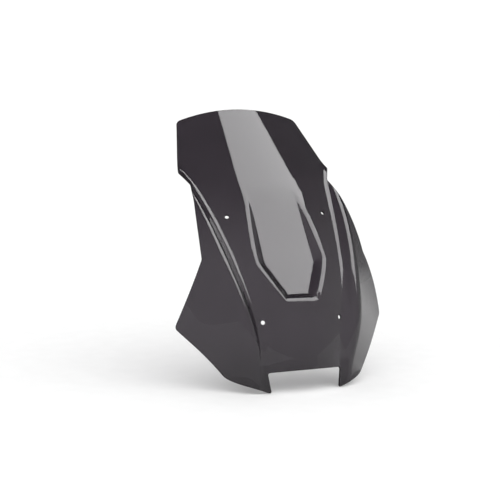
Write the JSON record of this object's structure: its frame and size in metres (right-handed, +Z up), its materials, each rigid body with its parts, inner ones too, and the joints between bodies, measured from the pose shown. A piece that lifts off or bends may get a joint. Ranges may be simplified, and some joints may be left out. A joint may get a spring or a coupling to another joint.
{
  "type": "motorcycle windshield screen",
  "caption": "One-piece smoked acrylic motorcycle screen with raised side ridges, swept wings, a hexagonal centre recess, a bottom cutout and open mounting holes.",
  "frame": {"origin": "middle of the four mounting holes, on the sheet's middle surface", "axes": "+X to the right hand of somebody facing the screen, +Y back to the rider, +Z up; the screen leans back, with the line through the hole rows 57 degrees above the horizontal, a guess at the fitted angle from the picture's level; X = 0 is the plane of mirror symmetry"},
  "size_m": [0.3622, 0.2821, 0.4284],
  "materials": {
    "smoked_acrylic": "polished, dark smoke tint, see-through against the light"
  },
  "bodies": {
    "root": {"screen": "smoked_acrylic"}
  },
  "joints": []
}
